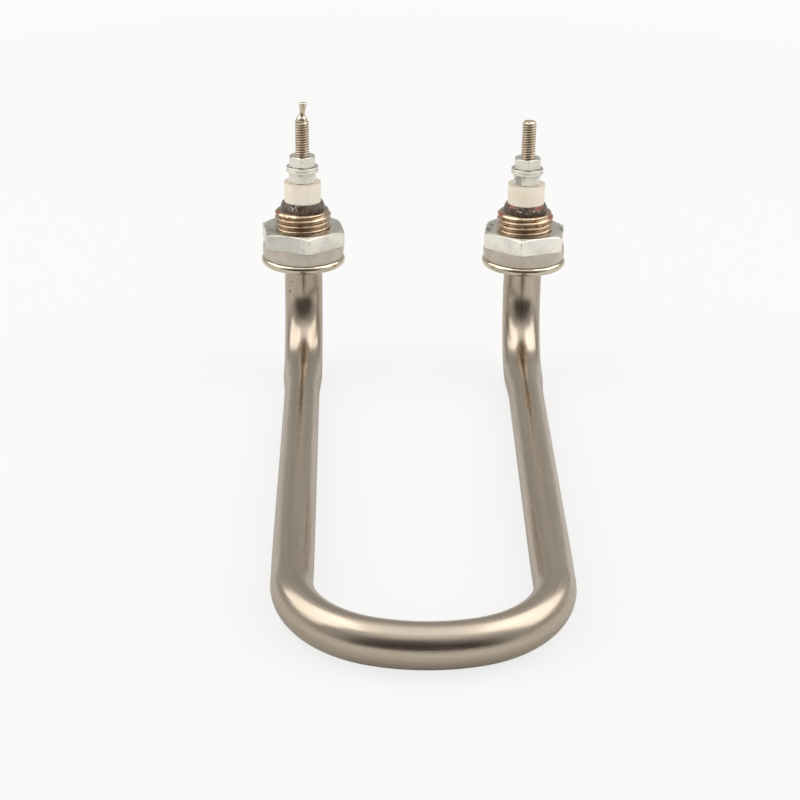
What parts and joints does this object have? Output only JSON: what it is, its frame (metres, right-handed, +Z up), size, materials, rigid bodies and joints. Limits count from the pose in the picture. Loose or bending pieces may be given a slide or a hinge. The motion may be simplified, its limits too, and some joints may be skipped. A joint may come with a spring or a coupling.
{
  "type": "tubular heating element",
  "caption": "U-shaped metal-sheathed immersion heater: a bent round tube whose upturned ends pass through flanged threaded bushes with seals, lock nuts, ceramic insulators and screw terminals.",
  "frame": {"origin": "midway between the axes of the two terminal studs, level with the upper faces of their upper nuts, where the free thread begins", "axes": "+Z up along the terminals; the flat loop runs towards -Y; +X to the right when the loop points at the viewer"},
  "size_m": [0.0874, 0.1774, 0.0783],
  "materials": {
    "sheath": "satin, slightly warm stainless steel with polished streaks at the bends",
    "bush_plating": "nickel-plated brass, warm, glossy",
    "zinc_plate": "matt zinc plate with a faint blue tint",
    "silicone": "translucent grey-beige silicone rubber, matt",
    "ceramic": "unglazed cream steatite",
    "sealing_compound": "dark brown cured compound, lumpy and partly glossy",
    "pin_steel": "steel rod with a straw-coloured heat tint",
    "magnesia": "compacted white powder, never seen",
    "resistance_wire": "oxidised nickel-chromium wire, never seen"
  },
  "bodies": {
    "root": {"sheath_tube": "sheath", "magnesia_filling": "magnesia", "magnesia_core": "magnesia", "heating_coil": "resistance_wire", "left_threaded_bush": "bush_plating", "left_sealing_washer": "silicone", "left_lock_nut": "zinc_plate", "left_ceramic_bush": "ceramic", "left_sealing_bead": "sealing_compound", "left_lower_nut": "zinc_plate", "left_lower_washer": "zinc_plate", "left_upper_washer": "zinc_plate", "left_upper_nut": "zinc_plate", "left_terminal_pin": "pin_steel", "right_threaded_bush": "bush_plating", "right_sealing_washer": "silicone", "right_lock_nut": "zinc_plate", "right_ceramic_bush": "ceramic", "right_sealing_bead": "sealing_compound", "right_lower_nut": "zinc_plate", "right_lower_washer": "zinc_plate", "right_upper_washer": "zinc_plate", "right_upper_nut": "zinc_plate", "right_terminal_pin": "pin_steel"}
  },
  "joints": []
}
